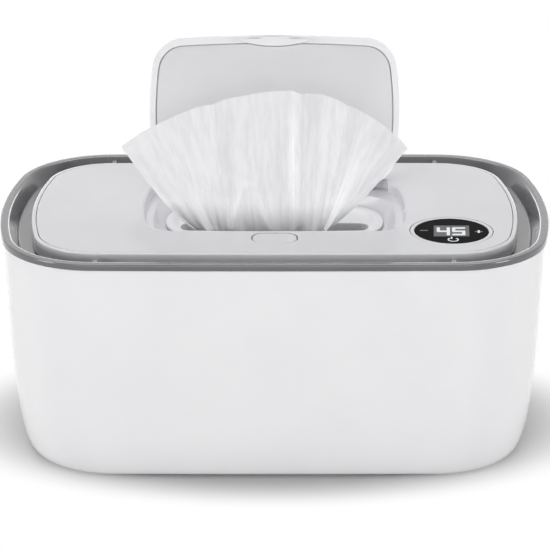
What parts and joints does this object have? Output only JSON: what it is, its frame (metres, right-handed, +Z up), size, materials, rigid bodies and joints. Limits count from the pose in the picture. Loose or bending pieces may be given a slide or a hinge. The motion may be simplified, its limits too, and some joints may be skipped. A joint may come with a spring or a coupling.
{
  "type": "baby wipe warmer",
  "caption": "Oval baby wipe warmer: a double-walled tub, a lift-off heated lid with a touch panel and a sprung flip lid over the mouth.",
  "frame": {"origin": "on the floor, under the middle of the tub's footprint", "axes": "+X to the right along the long side, +Y to the rear, away from the latch button, +Z up"},
  "size_m": [0.24, 0.1498, 0.1651],
  "materials": {
    "shell_white": "smooth, satin gloss",
    "liner_grey": "smooth, low sheen",
    "lid_white": "smooth, high gloss",
    "panel_grey": "smooth, low gloss",
    "silicone": "soft, matt",
    "rubber": "matt",
    "steel": "bright plated wire and screws",
    "aluminium": "rolled sheet",
    "film_orange": "thin amber film",
    "board_green": "solder-masked board",
    "black_gloss": "polished, lit digits behind it",
    "black_plastic": "matt",
    "lead_red": "soft insulation",
    "lead_black": "soft insulation",
    "tissue": "moist non-woven sheet"
  },
  "bodies": {
    "tub": {"outer_shell": "shell_white", "inner_liner": "liner_grey", "foot_1": "rubber", "foot_2": "rubber", "foot_3": "rubber", "foot_4": "rubber", "tub_screw_1": "steel", "tub_screw_2": "steel", "tub_screw_3": "steel", "tub_screw_4": "steel"},
    "lid": {"lid_cover": "lid_white", "lid_base": "lid_white", "lid_gasket": "silicone", "heating_plate": "aluminium", "heating_film": "film_orange", "lid_screw_1": "steel", "lid_screw_2": "steel", "lid_screw_3": "steel", "lid_screw_4": "steel", "lid_screw_5": "steel", "lid_screw_6": "steel", "panel_window": "black_gloss", "panel_bezel": "lid_white", "control_board": "board_green", "display_module": "black_plastic", "touch_spring_minus": "steel", "touch_spring_plus": "steel", "touch_spring_power": "steel", "board_screw_1": "steel", "board_screw_2": "steel", "power_inlet": "black_plastic", "temperature_sensor": "black_plastic", "thermal_fuse": "steel", "inlet_lead": "lead_black", "heater_lead": "lead_red", "sensor_lead": "lead_red", "wipe_guide": "silicone", "hinge_pin_left": "steel", "hinge_pin_right": "steel", "torsion_spring_left": "steel", "torsion_spring_right": "steel", "wipe": "tissue", "latch_spring": "steel"},
    "flip_lid_body": {"flip_lid": "lid_white", "flip_lid_panel": "panel_grey"},
    "button": {"latch_button": "lid_white"},
    "slide": {"latch_slide": "lid_white"}
  },
  "joints": [
    {"name": "lid_lift", "type": "slide", "parent": "tub", "child": "lid", "axis": [0, 0, 1], "range_m": [0, 0.06]},
    {"name": "flip_lid_hinge", "type": "hinge", "parent": "lid", "child": "flip_lid_body", "pos_m": [0, 0.035, 0.1], "axis": [1, 0, 0], "range_deg": [0, 108], "stiffness_Nm_per_rad": 0.004, "springref_deg": -51.57, "deforming": ["wipe", "torsion_spring_left", "torsion_spring_right"]},
    {"name": "latch_button_press", "type": "slide", "parent": "lid", "child": "button", "axis": [0, 0, -1], "range_m": [0, 0.0016], "stiffness_N_per_m": 500, "springref_m": -0.0006},
    {"name": "latch_slide_travel", "type": "slide", "parent": "lid", "child": "slide", "axis": [0, -1, 0], "range_m": [0, 0.0012], "stiffness_N_per_m": 400, "springref_m": -0.0006, "deforming": ["latch_spring"]}
  ],
  "couplings": [
    {"joint": "latch_slide_travel", "follows": "latch_button_press", "ratio": 0.75}
  ]
}
